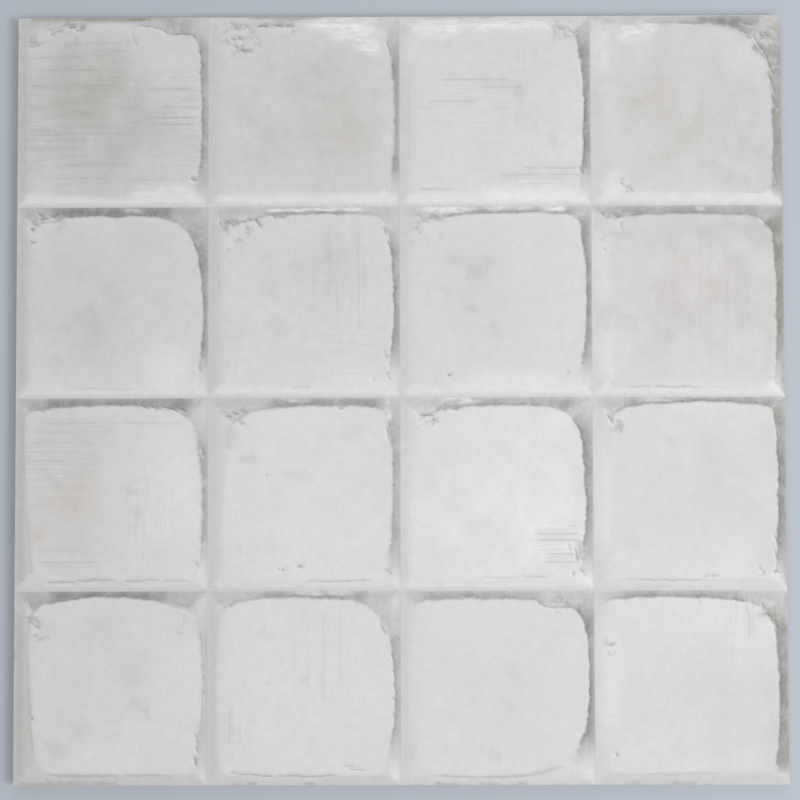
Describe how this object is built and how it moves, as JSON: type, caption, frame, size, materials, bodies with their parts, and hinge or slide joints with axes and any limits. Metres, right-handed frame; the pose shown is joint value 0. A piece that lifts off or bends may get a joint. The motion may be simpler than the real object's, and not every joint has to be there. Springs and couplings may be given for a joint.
{
  "type": "ceramic wall tile",
  "caption": "Square glazed ceramic wall tile, pressed in one piece, its face divided by false joints into uneven hand-cut looking raised squares; ribbed back for adhesive.",
  "frame": {"origin": "centre of the tile on the plane of the back ribs", "axes": "+Z from the back to the glazed face, +Y to the edge that is uppermost in the picture, +X to the right as the face is seen"},
  "size_m": [0.442, 0.442, 0.01],
  "materials": {
    "glaze": "satin off-white glaze with grey and beige staining"
  },
  "bodies": {
    "root": {"wall_tile": "glaze"}
  },
  "joints": []
}
